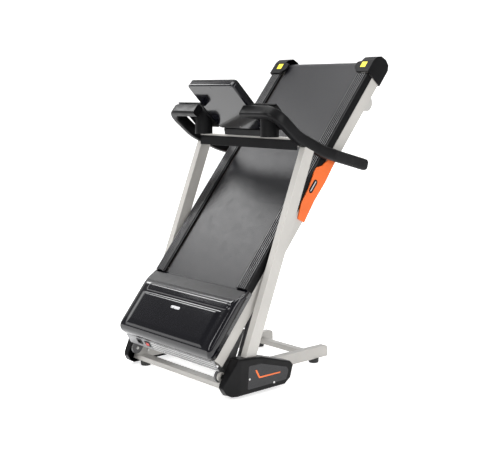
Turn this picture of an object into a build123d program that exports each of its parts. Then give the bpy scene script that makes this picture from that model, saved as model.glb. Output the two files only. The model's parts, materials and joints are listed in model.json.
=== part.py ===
"""Folding treadmill, standing folded: base frame, raised running deck, uprights and console.

Frame: +Z up, X across the machine, +Y towards the user end, origin on the floor under the
middle of the folded machine.  "left" is the user's left hand (+X), "right" is -X.
Deck pieces are drawn in the deck's own axes: x across, u along the deck from the fold pivot,
n square to the running surface.
"""
from build123d import *
import math
import os

os.makedirs("parts", exist_ok=True)

# ---------------------------------------------------------------- driving dimensions (mm)
FOLD_ANGLE = 50.9        # deck angle above the floor when folded
PIVOT_Y = -416.45        # fold pivot, front to back
PIVOT_Z = 81             # fold pivot, height
BELT_WIDTH = 440
BELT_THICK = 1.7
DECK_HALF = 291          # outer face of the deck's side rails
RAIL = (30, 50)          # side rail tube section
RAIL_LOW = 25            # rail underside, above the pivot
RAIL_U = (30, 1452)      # rail ends, along the deck
WALL = 2                 # steel tube wall
BELT_N = 101             # belt surface above the pivot
ROLLER_R = 30
FRONT_ROLLER_U = 285
REAR_ROLLER_U = 1428
ROLLER_HALF = 226
DRUM_GAP = 0.3           # belt's inner face clear of the drums
AXLE_R = 6
AXLE_FIT = 0.05          # radial running clearance
BOARD_THICK = 13
HOOD_REAR = 322
HOOD_TOP = 140
HOOD_HALF = 295
CAP_U = (1380, 1489)

BASE_TUBE_X = 173        # centre of each long base tube
BASE_TUBE_Z = (18, 66)
BASE_LENGTH = 660        # rear tip of the base behind the pivot
CROSSBAR_Z = (20, 42)
CROSSBAR_HALF = 298
FRONT_BAR_Y = (22, 64)   # front crossbar, behind the pivot
MIDDLE_BAR_Y = (214, 246)
SIDE_MEMBER_Z = (20, 50)
REAR_BAR_Y = (586, 620)

UPRIGHT_X = (304, 334)   # inner and outer face
UPRIGHT_DEPTH = 50
UPRIGHT_LEAN = 21.5      # degrees back from vertical
UPRIGHT_FOOT = (52.6, 20)   # centre line's distance behind the pivot, and height
TOP_GAP = 1                 # between an upright's top and the handlebar
BRACKET_BOLTS = [(76, 52), (92, 100)]
BOLT_R = 5
BOLT_TIP = 293              # bracket bolts end short of the deck's rails

STRUT_X = 240
STRUT_LOW = (108, 62)       # gas strut's lower pivot: behind the fold pivot, height
STRUT_TOP = (430, 35)       # its upper pivot on the deck: u, n
STRUT_PIN_R = 4

CONSOLE_TILT = 45
CONSOLE_TOP = (175, 1168)   # upper back edge: behind the pivot, height
CONSOLE_HALF = 142
CONSOLE_LENGTH = 250
CONSOLE_DEPTH = 35
SHELL = 2.5

BAR_SECTION = (34, 48)      # handlebar moulding, width and height
BAR_OUTER = 337

LEFT, RIGHT = 1, -1
SIDES = {"left": LEFT, "right": RIGHT}

# ---------------------------------------------------------------- construction planes
COS = math.cos(math.radians(FOLD_ANGLE))
SIN = math.sin(math.radians(FOLD_ANGLE))
PIVOT = (0, PIVOT_Y, PIVOT_Z)
DECK = Plane(origin=PIVOT, x_dir=(1, 0, 0), z_dir=(0, -SIN, COS))
DECK_SIDE = Plane(origin=PIVOT, x_dir=(0, COS, SIN), z_dir=(1, 0, 0))
SIDE = Plane(origin=(0, PIVOT_Y, 0), x_dir=(0, 1, 0), z_dir=(1, 0, 0))
FLOOR = Plane(origin=(0, PIVOT_Y, 0), x_dir=(1, 0, 0), z_dir=(0, 0, 1))
TILT = math.radians(CONSOLE_TILT)
CONSOLE = Plane(origin=(0, PIVOT_Y + CONSOLE_TOP[0], CONSOLE_TOP[1]), x_dir=(-1, 0, 0),
                z_dir=(0, math.cos(TILT), math.sin(TILT)))


def deck_section(u):
    """Plane across the deck at u: sketch x is across, sketch y is n, extrude(-length) runs rearward."""
    return Plane(origin=(0, PIVOT_Y + u * COS, PIVOT_Z + u * SIN), x_dir=(1, 0, 0),
                 z_dir=(0, -COS, -SIN))


def span(low, high):
    """Length and middle of an interval."""
    return high - low, (low + high) / 2


def save(builder, label):
    """Name a finished piece and write it as its own STEP file."""
    builder.part.label = label
    export_step(builder.part, f"parts/{label}.step")


def box_in(plane, x, y, z, label=None):
    """A plain block given by its limits on each axis of a plane."""
    with BuildPart(plane) as block:
        with Locations((span(*x)[1], span(*y)[1], span(*z)[1])):
            Box(span(*x)[0], span(*y)[0], span(*z)[0])
    if label:
        save(block, label)
    return block


def tube_across(plane, y, z, half, label=None):
    """Square tube lying across the machine, between -half and +half."""
    with BuildPart() as tube:
        with BuildSketch(plane.offset(-half)):
            with Locations((span(*y)[1], span(*z)[1])):
                RectangleRounded(span(*y)[0], span(*z)[0], 3)
                Rectangle(span(*y)[0] - 2 * WALL, span(*z)[0] - 2 * WALL, mode=Mode.SUBTRACT)
        extrude(amount=2 * half)
    if label:
        save(tube, label)
    return tube


def across(side, low, high):
    """Limits on X of something between low and high on the given side."""
    return (low, high) if side == LEFT else (-high, -low)


# ================================================================ base frame
MEMBER_FRONT = 96           # front end of the members beside the middle crossbar
TUBE_RAKE = 6               # a base tube's lower edge runs this far past its upper edge

rear_crossbar = tube_across(SIDE, REAR_BAR_Y, CROSSBAR_Z, BASE_TUBE_X - RAIL[0] / 2)


with BuildPart() as middle_crossbar:
    add(tube_across(SIDE, MIDDLE_BAR_Y, CROSSBAR_Z, UPRIGHT_X[0]).part)
    for side in SIDES.values():
        # Member running forward inside the side cover to the plate at the upright's foot.
        with BuildSketch(SIDE.offset(across(side, *UPRIGHT_X)[0])):
            with Locations(((MEMBER_FRONT + MIDDLE_BAR_Y[1]) / 2, span(*SIDE_MEMBER_Z)[1])):
                Rectangle(MIDDLE_BAR_Y[1] - MEMBER_FRONT, span(*SIDE_MEMBER_Z)[0])
        extrude(amount=RAIL[0])


def base_tube(side, label):
    """Long floor tube with a raked rear end."""
    inner = side * BASE_TUBE_X - RAIL[0] / 2
    front = MIDDLE_BAR_Y[1]
    with BuildPart() as tube:
        with BuildSketch(SIDE.offset(inner)):
            with BuildLine():
                Polyline((front, BASE_TUBE_Z[0]), (front, BASE_TUBE_Z[1]), (BASE_LENGTH, BASE_TUBE_Z[1]),
                         (BASE_LENGTH + TUBE_RAKE, BASE_TUBE_Z[0]), close=True)
            make_face()
        extrude(amount=RAIL[0])
        with BuildSketch(SIDE.offset(inner + WALL)):
            with Locations(((front + BASE_LENGTH) / 2, span(*BASE_TUBE_Z)[1])):
                Rectangle(BASE_LENGTH, span(*BASE_TUBE_Z)[0] - 2 * WALL)
        extrude(amount=RAIL[0] - 2 * WALL, mode=Mode.SUBTRACT)
    save(tube, label)


def base_plug(side):
    """Rounded plastic plug closing the rear end of a floor tube."""
    with BuildPart() as plug:
        with BuildSketch(SIDE.offset(side * BASE_TUBE_X - RAIL[0] / 2)):
            with BuildLine():
                Polyline((BASE_LENGTH + 0.1, BASE_TUBE_Z[1]), (BASE_LENGTH + 9, BASE_TUBE_Z[1] - 3),
                         (BASE_LENGTH + 13, BASE_TUBE_Z[1] - 12), (BASE_LENGTH + 14, BASE_TUBE_Z[0]),
                         (BASE_LENGTH + TUBE_RAKE + 0.1, BASE_TUBE_Z[0]), close=True)
            make_face()
        extrude(amount=RAIL[0])
    return plug


def upright_line(z):
    """Distance of the upright's centre line behind the pivot at height z."""
    return UPRIGHT_FOOT[0] + (z - UPRIGHT_FOOT[1]) * math.tan(math.radians(UPRIGHT_LEAN))


# Handlebar top line seen from the side: steep at the console, flatter towards the grips.
BAR_TOP = [(193, 1132), (354, 1000), (493, 939), (738, 876)]
BAR_BEND = 150
BAR_SLOPE = (BAR_TOP[1][1] - BAR_TOP[2][1]) / (BAR_TOP[2][0] - BAR_TOP[1][0])
BAR_DROP = BAR_SECTION[1] / math.cos(math.atan(BAR_SLOPE))


def bar_underside(y):
    """Height of the handlebar's lower face over the uprights."""
    return BAR_TOP[1][1] - BAR_SLOPE * (y - BAR_TOP[1][0]) - BAR_DROP


def upright(side, label):
    """Leaning side post, cut level at the foot and along the handlebar at the top."""
    half = UPRIGHT_DEPTH / 2 / math.cos(math.radians(UPRIGHT_LEAN))
    low = across(side, *UPRIGHT_X)[0]
    lean = math.tan(math.radians(UPRIGHT_LEAN))
    corners = []
    for edge in (-half, half):
        y = (upright_line(bar_underside(0) - TOP_GAP) + edge) / (1 + BAR_SLOPE * lean)
        corners.append((y, bar_underside(y) - TOP_GAP))
    foot = UPRIGHT_FOOT[0]
    with BuildPart() as post:
        with BuildSketch(SIDE.offset(low)):
            with BuildLine():
                Polyline((foot - half, UPRIGHT_FOOT[1]), corners[0], corners[1],
                         (foot + half, UPRIGHT_FOOT[1]), close=True)
            make_face()
        extrude(amount=RAIL[0])
        with BuildSketch(SIDE.offset(low + WALL)):
            with BuildLine():
                inset = WALL / math.cos(math.radians(UPRIGHT_LEAN))
                Polyline((foot - half + inset, UPRIGHT_FOOT[1]),
                         (corners[0][0] + inset, corners[0][1] - 12),
                         (corners[1][0] - inset, corners[1][1] - 6),
                         (foot + half - inset, UPRIGHT_FOOT[1]), close=True)
            make_face()
        extrude(amount=RAIL[0] - 2 * WALL, mode=Mode.SUBTRACT)
        with BuildSketch(SIDE.offset(low)):
            with Locations(*BRACKET_BOLTS):
                Circle(BOLT_R + 0.1)
        extrude(amount=RAIL[0], mode=Mode.SUBTRACT)
    save(post, label)


for name, side in SIDES.items():
    base_tube(side, f"base_tube_{name}")
    upright(side, f"upright_{name}")


def pin(plane, centre, radius, x_from, x_to):
    """Round bar lying across the machine; centre is in the plane's own two axes."""
    with BuildPart() as bar:
        with BuildSketch(plane.offset(x_from)):
            with Locations(centre):
                Circle(radius)
        extrude(amount=x_to - x_from)
    return bar


def bolt_across(plane, centre, radius, head_at, tip_at):
    """Hex bolt lying across the machine, its head outside head_at."""
    outward = 1 if head_at > tip_at else -1
    with BuildPart() as bolt:
        with BuildSketch(plane.offset(tip_at)):
            with Locations(centre):
                Circle(radius)
        extrude(amount=head_at - tip_at)
        with BuildSketch(plane.offset(head_at)):
            with Locations(centre):
                RegularPolygon(radius * 1.7, 6)
        extrude(amount=outward * radius * 1.2)
    return bolt


def group(builders, label):
    """Identical small pieces kept together in one node."""
    with BuildPart() as pieces:
        for one in builders:
            add(one.part)
    save(pieces, label)


def bracket_bolts():
    """Bolts from the outer face of each upright through its bracket."""
    bolts = []
    for side in SIDES.values():
        for centre in BRACKET_BOLTS:
            bolts.append(bolt_across(SIDE, centre, BOLT_R, side * UPRIGHT_X[1], side * BOLT_TIP))
    return bolts


group(bracket_bolts(), "upright_bolts")
group([base_plug(side) for side in SIDES.values()], "base_plugs")
group([middle_crossbar, rear_crossbar], "base_crossbars")

FOOT_R = 22
FRONT_FEET = [(x, 43) for x in (-268, 268)]
REAR_FEET = [(x, 603) for x in (-BASE_TUBE_X, BASE_TUBE_X)]
STUD_R = 4


def levelling_foot(x, y, height):
    """Round rubber pad with a bevelled tread."""
    with BuildPart() as foot:
        with BuildSketch(FLOOR):
            with Locations((x, y)):
                Circle(FOOT_R - 2)
        with BuildSketch(FLOOR.offset(height * 0.4)):
            with Locations((x, y)):
                Circle(FOOT_R)
        loft()
        with BuildSketch(FLOOR.offset(height * 0.4)):
            with Locations((x, y)):
                Circle(FOOT_R)
        extrude(amount=height * 0.6)
        with BuildSketch(FLOOR.offset(height / 2)):
            with Locations((x, y)):
                Circle(STUD_R)
        extrude(amount=height, mode=Mode.SUBTRACT)
    return foot


def levelling_stud(x, y, height):
    """Threaded stud from the pad up into the tube above it."""
    with BuildPart() as stud:
        with BuildSketch(FLOOR.offset(height / 2)):
            with Locations((x, y)):
                Circle(STUD_R)
        extrude(amount=height / 2)
    return stud


FEET = [(x, y, CROSSBAR_Z[0]) for x, y in FRONT_FEET] + [(x, y, BASE_TUBE_Z[0]) for x, y in REAR_FEET]
group([levelling_foot(*spot) for spot in FEET], "levelling_feet")
group([levelling_stud(*spot) for spot in FEET], "foot_studs")

# ================================================================ fold hinge
LUG_X = (276, 282)
ARM_X = (266, 274)
PIVOT_R = 6
LUG_R = 18
ARM_R = 24
FORK = (13, 19)             # the strut fork's plates, from the strut's middle
FORK_EYE = 13
SHELF_Z = (27, 33)


with BuildPart() as front_crossbar:
    with BuildSketch(SIDE.offset(-CROSSBAR_HALF)):
        with Locations((span(*FRONT_BAR_Y)[1], span(*CROSSBAR_Z)[1])):
            RectangleRounded(span(*FRONT_BAR_Y)[0], span(*CROSSBAR_Z)[0], 3)
            Rectangle(span(*FRONT_BAR_Y)[0] - 2 * WALL, span(*CROSSBAR_Z)[0] - 2 * WALL, mode=Mode.SUBTRACT)
    extrude(amount=2 * CROSSBAR_HALF)
    for side in SIDES.values():
        # Lug welded on top, with the pivot bolt's hole at its rounded end.
        with BuildSketch(SIDE.offset(across(side, *LUG_X)[0])):
            with BuildLine():
                Polyline((-15, PIVOT_Z - 10), (14, PIVOT_Z + 11), (60, CROSSBAR_Z[1] - 1),
                         (24, CROSSBAR_Z[1] - 1), close=True)
            make_face()
            with Locations((0, PIVOT_Z)):
                Circle(LUG_R)
                Circle(PIVOT_R, mode=Mode.SUBTRACT)
        extrude(amount=LUG_X[1] - LUG_X[0])
        # Plate welded across the end, which the upright is bolted to.
        with BuildSketch(SIDE.offset(across(side, CROSSBAR_HALF, UPRIGHT_X[0])[0])) as outline:
            with BuildLine():
                Polyline((46, 18), (48, 90), (66, 118), (112, 118), (112, 60), (100, 18), close=True)
            make_face()
            fillet(outline.vertices(), 6)
            with Locations(*BRACKET_BOLTS):
                Circle(BOLT_R + 0.1, mode=Mode.SUBTRACT)
        extrude(amount=UPRIGHT_X[0] - CROSSBAR_HALF)
    # Shelf welded behind the tube, carrying the fork for the gas strut's lower pin.
    with BuildSketch(SIDE.offset(STRUT_X - FORK[1])):
        with Locations(((FRONT_BAR_Y[1] + STRUT_LOW[0] + FORK_EYE) / 2, span(*SHELF_Z)[1])):
            Rectangle(STRUT_LOW[0] + FORK_EYE - FRONT_BAR_Y[1] + 1, span(*SHELF_Z)[0])
    extrude(amount=2 * FORK[1])
    for x in (STRUT_X - FORK[1], STRUT_X + FORK[0]):
        with BuildSketch(SIDE.offset(x)):
            with Locations((STRUT_LOW[0], (SHELF_Z[1] + STRUT_LOW[1]) / 2 - 1)):
                Rectangle(2 * FORK_EYE, STRUT_LOW[1] - SHELF_Z[1] + 2)
            with Locations(STRUT_LOW):
                Circle(FORK_EYE)
                Circle(STRUT_PIN_R, mode=Mode.SUBTRACT)
        extrude(amount=FORK[1] - FORK[0])
save(front_crossbar, "front_crossbar")


def hinge_arm(side):
    """Wedge plate under a side rail, rounded about the fold pivot."""
    with BuildPart() as arm:
        with BuildSketch(DECK_SIDE.offset(across(side, *ARM_X)[0])):
            with BuildLine():
                Polyline((0, ARM_R), (30, RAIL_LOW), (265, RAIL_LOW), (250, RAIL_LOW - 6),
                         (95, -ARM_R), (0, -ARM_R), close=True)
            make_face()
            Circle(ARM_R)
            Circle(PIVOT_R + 0.1, mode=Mode.SUBTRACT)
            with Locations((205, RAIL_LOW - 14)):
                Circle(5, mode=Mode.SUBTRACT)
        extrude(amount=ARM_X[1] - ARM_X[0])
    return arm


group([hinge_arm(side) for side in SIDES.values()], "hinge_arms")
group([bolt_across(SIDE, (0, PIVOT_Z), PIVOT_R, side * LUG_X[1], side * 262) for side in SIDES.values()],
      "pivot_bolts")

# ================================================================ side covers
COVER_X = (298.5, 351)
COVER_WALL = 3
COVER_SIDE = [(5, 12), (-14, 24), (-27, 46), (-24, 60), (4, 105), (32, 151), (42, 154), (146, 146),
              (297, 101), (313, 84), (298, 34), (268, 13)]
NOSE_CUT = [(312, -60), (402, 168.5)]   # plan line that takes the outer front corner off
COVER_CHAMFER = 5


def cover_form(side, inset):
    """A cover's outer form, or the form of its cavity when inset."""
    outer = COVER_X[1] - inset
    inner = COVER_X[0] - inset
    with BuildPart() as form:
        with BuildSketch(SIDE.offset(across(side, inner, outer)[0])) as outline:
            with BuildLine():
                Polyline(*COVER_SIDE, close=True)
            make_face()
            if inset:
                offset(amount=-inset, kind=Kind.INTERSECTION)
        extrude(amount=outer - inner)
        chamfer(form.faces().sort_by(Axis.X)[-1 if side == LEFT else 0].edges(), COVER_CHAMFER)
        with BuildSketch(FLOOR):
            with BuildLine():
                Polyline((side * (NOSE_CUT[0][0] - inset), NOSE_CUT[0][1]),
                         (side * (NOSE_CUT[1][0] - inset), NOSE_CUT[1][1]),
                         (side * NOSE_CUT[1][0], 400), (side * DECK_HALF, 400),
                         (side * DECK_HALF, NOSE_CUT[0][1]), close=True)
            make_face()
        extrude(amount=200, mode=Mode.INTERSECT)
    return form.part


def side_cover(side, label):
    """Moulded shell over an upright's foot, open towards the middle of the machine."""
    with BuildPart() as cover:
        add(cover_form(side, 0))
        add(cover_form(side, COVER_WALL), mode=Mode.SUBTRACT)
        post_cut = across(side, UPRIGHT_X[0] - 0.5, UPRIGHT_X[1] + 0.5)
        half = UPRIGHT_DEPTH / 2 / math.cos(math.radians(UPRIGHT_LEAN)) + 0.5
        with BuildSketch(SIDE.offset(post_cut[0])):
            with BuildLine():
                Polyline((upright_line(100) - half, 100), (upright_line(200) - half, 200),
                         (upright_line(200) + half, 200), (upright_line(100) + half, 100), close=True)
            make_face()
        extrude(amount=post_cut[1] - post_cut[0], mode=Mode.SUBTRACT)
    save(cover, label)


for name, side in SIDES.items():
    side_cover(side, f"side_cover_{name}")

# ================================================================ running deck
def deck_rail(side, label):
    """Rectangular steel tube along one side of the deck."""
    low = across(side, DECK_HALF - RAIL[0], DECK_HALF)
    with BuildPart() as rail:
        with BuildSketch(deck_section(RAIL_U[0])):
            with Locations((sum(low) / 2, RAIL_LOW + RAIL[1] / 2)):
                RectangleRounded(*RAIL, 4)
                Rectangle(RAIL[0] - 2 * WALL, RAIL[1] - 2 * WALL, mode=Mode.SUBTRACT)
        extrude(amount=RAIL_U[0] - RAIL_U[1])
        with BuildSketch(DECK_SIDE.offset(min(low, key=abs) - 5)):
            with Locations((FRONT_ROLLER_U, ROLLER_N), (REAR_ROLLER_U, ROLLER_N)):
                Circle(AXLE_R)
        extrude(amount=10, mode=Mode.SUBTRACT)
        if side == LEFT:
            # Lug welded inside the rail, beside the gas strut's upper eye.
            with BuildSketch(DECK_SIDE.offset(DECK_HALF - RAIL[0] - 6)):
                with BuildLine():
                    u, n = STRUT_TOP
                    Polyline((u - 22, n + 15), (u - 12, n - 9), (u + 12, n - 9), (u + 22, n + 15),
                             (u + 22, n + 37), (u - 22, n + 37), close=True)
                make_face()
            extrude(amount=6.5)
    save(rail, label)


ROLLER_N = BELT_N - BELT_THICK - ROLLER_R
RAIL_TOP = RAIL_LOW + RAIL[1]
BOARD_N = (BELT_N - BELT_THICK - 0.3 - BOARD_THICK, BELT_N - BELT_THICK - 0.3)
BOARD_U = (352, 1380)
BOARD_HALF = 284
CROSS_TUBES = [((160, 183), (31.2, 47)), ((690, 720), (42, 68)), ((1325, 1355), (42, 68))]
BELT_INNER = ROLLER_R
BELT_OUTER = ROLLER_R + BELT_THICK

group([tube_across(DECK_SIDE, *limits, DECK_HALF - RAIL[0]) for limits in CROSS_TUBES], "deck_tubes")

box_in(DECK, (-BOARD_HALF, BOARD_HALF), BOARD_U, BOARD_N, "running_board")


def cushion(x, u):
    """Rubber block between the running board and a rail."""
    with BuildPart() as block:
        with BuildSketch(DECK.offset(RAIL_TOP)):
            with Locations((x, u)):
                RectangleRounded(16, 70, 5)
        extrude(amount=BOARD_N[0] - RAIL_TOP)
    return block


CUSHION_U = [430, 740, 1050, 1340]
group([cushion(x, u) for x in (-274, 274) for u in CUSHION_U], "deck_cushions")

with BuildPart() as running_belt:
    with BuildSketch(DECK_SIDE.offset(-BELT_WIDTH / 2)):
        with Locations(((FRONT_ROLLER_U + REAR_ROLLER_U) / 2, ROLLER_N)):
            SlotOverall(REAR_ROLLER_U - FRONT_ROLLER_U + 2 * BELT_OUTER, 2 * BELT_OUTER)
            SlotOverall(REAR_ROLLER_U - FRONT_ROLLER_U + 2 * BELT_INNER, 2 * BELT_INNER, mode=Mode.SUBTRACT)
    extrude(amount=BELT_WIDTH)
save(running_belt, "running_belt")


def roller(u, label):
    """Crowned steel drum with end discs bored for its axle."""
    with BuildPart() as drum:
        with BuildSketch(DECK_SIDE.offset(-ROLLER_HALF)):
            with Locations((u, ROLLER_N)):
                Circle(ROLLER_R - DRUM_GAP)
                Circle(AXLE_R + AXLE_FIT, mode=Mode.SUBTRACT)
        extrude(amount=2 * ROLLER_HALF)
        with BuildSketch(DECK_SIDE.offset(20 - ROLLER_HALF)):
            with Locations((u, ROLLER_N)):
                Circle(ROLLER_R - 3)
        extrude(amount=2 * (ROLLER_HALF - 20), mode=Mode.SUBTRACT)
    save(drum, label)


AXLE_HALF = 263
for name, u in {"front": FRONT_ROLLER_U, "rear": REAR_ROLLER_U}.items():
    roller(u, f"{name}_roller")
group([pin(DECK_SIDE, (u, ROLLER_N), AXLE_R, -AXLE_HALF, AXLE_HALF) for u in (FRONT_ROLLER_U, REAR_ROLLER_U)],
      "roller_axles")

LIP_X = 228
RAIL_CAP_X = (228, 291.5)
FOOT_RAIL_N = (76, 113)
RIDGES = 5


def foot_rail(side, label):
    """Ribbed cap along a side rail: tread on top, flange down the outside."""
    with BuildPart() as cap:
        with BuildSketch(deck_section(HOOD_REAR + 0.5)):
            width, middle = span(*across(side, *RAIL_CAP_X))
            with Locations((middle, 109.5)):
                Rectangle(width, 3)
            with Locations((side * (RAIL_CAP_X[1] - 1.75), span(*FOOT_RAIL_N)[1] - 1)):
                Rectangle(3.5, 35)
            with Locations((side * (LIP_X + 1.5), 107)):
                Rectangle(3, 8)
            for ridge in range(RIDGES):
                with Locations((side * (240 + ridge * 10), 111.8)):
                    Rectangle(4.5, 2.4)
        extrude(amount=HOOD_REAR - CAP_U[0] + 1)
    save(cap, label)


def end_cap(side):
    """Moulded rear corner, hollow around the rail's end."""
    with BuildPart() as cap:
        with BuildSketch(DECK_SIDE.offset(across(side, 231, 297)[0])):
            with BuildLine():
                Polyline((CAP_U[0], 22), (1462, 22), (1482, 34), (CAP_U[1], 60), (1482, 92),
                         (1462, 112), (1440, 119), (CAP_U[0], 119), close=True)
            make_face()
        extrude(amount=66)
        with BuildSketch(DECK_SIDE.offset(across(side, 228, 294)[0])):
            with BuildLine():
                Polyline((CAP_U[0], 24.8), (1461, 24.8), (1479, 36), (CAP_U[1] - 3, 60), (1479, 90),
                         (1460, 109), (1438, 116), (CAP_U[0], 116), close=True)
            make_face()
        extrude(amount=66, mode=Mode.SUBTRACT)
    return cap


REAR_FOOT_U = 1284
REAR_FOOT_R = 34


def rear_foot(side):
    """Half-round rubber foot under a rail's rear end; it meets the floor when the deck is down."""
    with BuildPart() as foot:
        with BuildSketch(DECK_SIDE.offset(across(side, 264, 288)[0])):
            with Locations((REAR_FOOT_U, RAIL_LOW + 5)):
                Circle(REAR_FOOT_R)
            with Locations((REAR_FOOT_U, RAIL_LOW + REAR_FOOT_R)):
                Rectangle(3 * REAR_FOOT_R, 2 * REAR_FOOT_R, mode=Mode.SUBTRACT)
        extrude(amount=24)
    return foot


for name, side in SIDES.items():
    deck_rail(side, f"deck_rail_{name}")
    foot_rail(side, f"foot_rail_{name}")
group([end_cap(side) for side in SIDES.values()], "end_caps")
group([rear_foot(side) for side in SIDES.values()], "rear_feet")

# ================================================================ motor bay
PAN_N = (29, 31)
PAN_END = 250
PAN_HALF = 260
APRON_HALF = 290            # the sloping front wall is wider than the pan's floor
APRON_FOOT = (8, 27)        # its lower edge: u, n
APRON_LIP = (28, 80)        # its upper edge, behind the hood's lower edge
PAN_SHEET = 2.2
APRON_TILT = math.atan2(APRON_LIP[0] - APRON_FOOT[0], APRON_LIP[1] - APRON_FOOT[1])
ALONG = (0, COS, SIN)       # direction of u
ABOVE = (0, -SIN, COS)      # direction of n
FRONT_WALL = Plane(origin=[p + APRON_FOOT[0] * a + APRON_FOOT[1] * b for p, a, b in zip(PIVOT, ALONG, ABOVE)],
                   x_dir=(1, 0, 0),
                   z_dir=[math.sin(APRON_TILT) * b - math.cos(APRON_TILT) * a for a, b in zip(ALONG, ABOVE)])

# Switch and mains inlet: where they sit across the wall and how far up it.
SWITCH_X = -148
INLET_X = -205
PANEL_UP = 27
ROCKER = (20, 13)

with BuildPart() as motor_pan:
    with BuildSketch(DECK_SIDE.offset(-PAN_HALF)):
        with BuildLine():
            Polyline((APRON_FOOT[0] + 1, PAN_N[0]), (PAN_END, PAN_N[0]), (PAN_END, PAN_N[1]),
                     (APRON_FOOT[0] + 2, PAN_N[1]), close=True)
        make_face()
    extrude(amount=2 * PAN_HALF)
    with BuildSketch(DECK_SIDE.offset(-APRON_HALF)):
        with BuildLine():
            Polyline(APRON_FOOT, APRON_LIP, (APRON_LIP[0] + PAN_SHEET, APRON_LIP[1]),
                     (APRON_FOOT[0] + PAN_SHEET, APRON_FOOT[1]), close=True)
        make_face()
    extrude(amount=2 * APRON_HALF)
    for x, width in ((SWITCH_X, 30), (INLET_X, 28)):
        with BuildSketch(FRONT_WALL.offset(-6)):
            with Locations((x, PANEL_UP)):
                Rectangle(width, 22)
        extrude(amount=12, mode=Mode.SUBTRACT)
save(motor_pan, "motor_pan")

HOOD_SIDE = [(23, 76), (23, 108), (38, 128), (74, 140), (238, 140), (300, 116), (322, 104), (322, 76)]
HOOD_WALL = 3
HOOD_SHOULDER = [(0, 118), (-7, 130), (-19, HOOD_TOP)]   # from the side wall inwards, and height n


def hood_solid(inset):
    """Hood's outer form, or the form of its cavity when inset."""
    top = [(u + inset * (1 if u < 180 else -1), n - inset) for u, n in HOOD_SIDE[1:-1]]
    foot = HOOD_SIDE[0][1] - inset
    half = HOOD_HALF - inset
    with BuildPart() as body:
        with BuildSketch(DECK_SIDE.offset(-half)):
            with BuildLine():
                Polyline((top[0][0], foot), *top, (top[-1][0], foot), close=True)
            make_face()
        extrude(amount=2 * half)
        with BuildSketch(deck_section(0)):
            with BuildLine():
                Polyline((-half, foot), *[(-x - half, n - inset) for x, n in HOOD_SHOULDER],
                         *[(half + x, n - inset) for x, n in reversed(HOOD_SHOULDER)], (half, foot), close=True)
            make_face()
        extrude(amount=-400, mode=Mode.INTERSECT)
    return body.part


cavity = hood_solid(HOOD_WALL)
with BuildPart() as motor_hood:
    add(hood_solid(0))
    add(cavity, mode=Mode.SUBTRACT)
    with BuildSketch(DECK_SIDE.offset(-256)):
        with Locations((HOOD_REAR, 88)):
            Rectangle(24, 29)
    extrude(amount=512, mode=Mode.SUBTRACT)
save(motor_hood, "motor_hood")

MOTOR_U = 112
MOTOR_N = 82
MOTOR_R = 44
MOTOR_X = (5, 205)
PULLEY_X = (240, 254)
SHAFT_R = 7
MOTOR_PULLEY_R = 13
ROLLER_PULLEY_R = 39

with BuildPart() as drive_motor:
    with BuildSketch(DECK_SIDE.offset(MOTOR_X[0])):
        with Locations((MOTOR_U, MOTOR_N)):
            Circle(MOTOR_R)
    extrude(amount=MOTOR_X[1] - MOTOR_X[0])
    fillet(drive_motor.edges().filter_by(GeomType.CIRCLE), 5)
    with BuildSketch(DECK_SIDE.offset(MOTOR_X[0] + 20)):
        with Locations((MOTOR_U, (PAN_N[1] + MOTOR_N) / 2)):
            Rectangle(70, MOTOR_N - PAN_N[1])
    extrude(amount=MOTOR_X[1] - MOTOR_X[0] - 40)
    with BuildSketch(DECK_SIDE.offset(MOTOR_X[1] - 30)):
        with Locations((MOTOR_U, MOTOR_N)):
            Circle(SHAFT_R + AXLE_FIT)
    extrude(amount=30, mode=Mode.SUBTRACT)
save(drive_motor, "drive_motor")

with BuildPart() as motor_shaft:
    with BuildSketch(DECK_SIDE.offset(MOTOR_X[1] - 28)):
        with Locations((MOTOR_U, MOTOR_N)):
            Circle(SHAFT_R)
    extrude(amount=PULLEY_X[1] - MOTOR_X[1] + 28)
    with BuildSketch(DECK_SIDE.offset(214)):
        with Locations((MOTOR_U, MOTOR_N)):
            Circle(MOTOR_R - 4)
    extrude(amount=16)
    with BuildSketch(DECK_SIDE.offset(PULLEY_X[0])):
        with Locations((MOTOR_U, MOTOR_N)):
            Circle(MOTOR_PULLEY_R)
    extrude(amount=PULLEY_X[1] - PULLEY_X[0])
save(motor_shaft, "motor_flywheel_pulley")

with BuildPart() as roller_pulley:
    with BuildSketch(DECK_SIDE.offset(PULLEY_X[0])):
        with Locations((FRONT_ROLLER_U, ROLLER_N)):
            Circle(ROLLER_PULLEY_R)
            Circle(AXLE_R + AXLE_FIT, mode=Mode.SUBTRACT)
    extrude(amount=PULLEY_X[1] - PULLEY_X[0])
    with BuildSketch(DECK_SIDE.offset(ROLLER_HALF)):
        with Locations((FRONT_ROLLER_U, ROLLER_N)):
            Circle(15)
            Circle(AXLE_R + AXLE_FIT, mode=Mode.SUBTRACT)
    extrude(amount=PULLEY_X[0] - ROLLER_HALF)
save(roller_pulley, "roller_pulley")


def belt_loop(gap, thick):
    """Belt section round both pulleys, clear of them by gap."""
    with BuildSketch(Plane.XY) as loop:
        for grow, mode in ((gap + thick, Mode.ADD), (gap, Mode.SUBTRACT)):
            with BuildSketch(Plane.XY, mode=mode):
                with Locations((MOTOR_U, MOTOR_N)):
                    Circle(MOTOR_PULLEY_R + grow)
                with Locations((FRONT_ROLLER_U, ROLLER_N)):
                    Circle(ROLLER_PULLEY_R + grow)
                make_hull()
    return loop.sketch


with BuildPart() as drive_belt:
    with BuildSketch(DECK_SIDE.offset(PULLEY_X[0] + 2)):
        add(belt_loop(0.3, 2.5))
    extrude(amount=10)
save(drive_belt, "drive_belt")

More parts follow.
